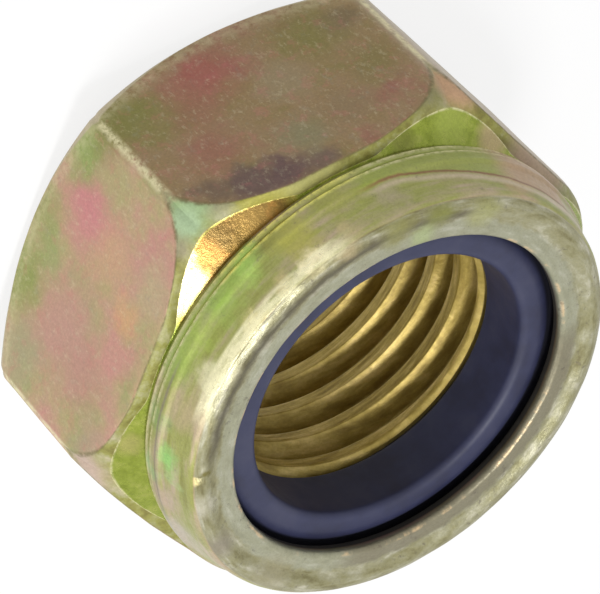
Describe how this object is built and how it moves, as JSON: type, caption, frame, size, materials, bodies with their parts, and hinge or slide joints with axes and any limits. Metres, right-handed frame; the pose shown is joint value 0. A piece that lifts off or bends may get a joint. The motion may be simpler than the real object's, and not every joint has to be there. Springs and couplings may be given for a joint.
{
  "type": "nylon insert lock nut",
  "caption": "Hexagonal steel lock nut with a collar rolled in over a nylon ring that grips the bolt's thread.",
  "frame": {"origin": "centre of the bearing face, on the thread's axis", "axes": "+Z along the thread's axis towards the rolled collar, one corner of the hexagon along +X"},
  "size_m": [0.0274, 0.024, 0.015],
  "materials": {
    "plated_steel": "zinc plated, yellow passivated, satin",
    "nylon": "smooth, dark blue"
  },
  "bodies": {
    "root": {"nut_body": "plated_steel", "nylon_insert": "nylon"}
  },
  "joints": []
}
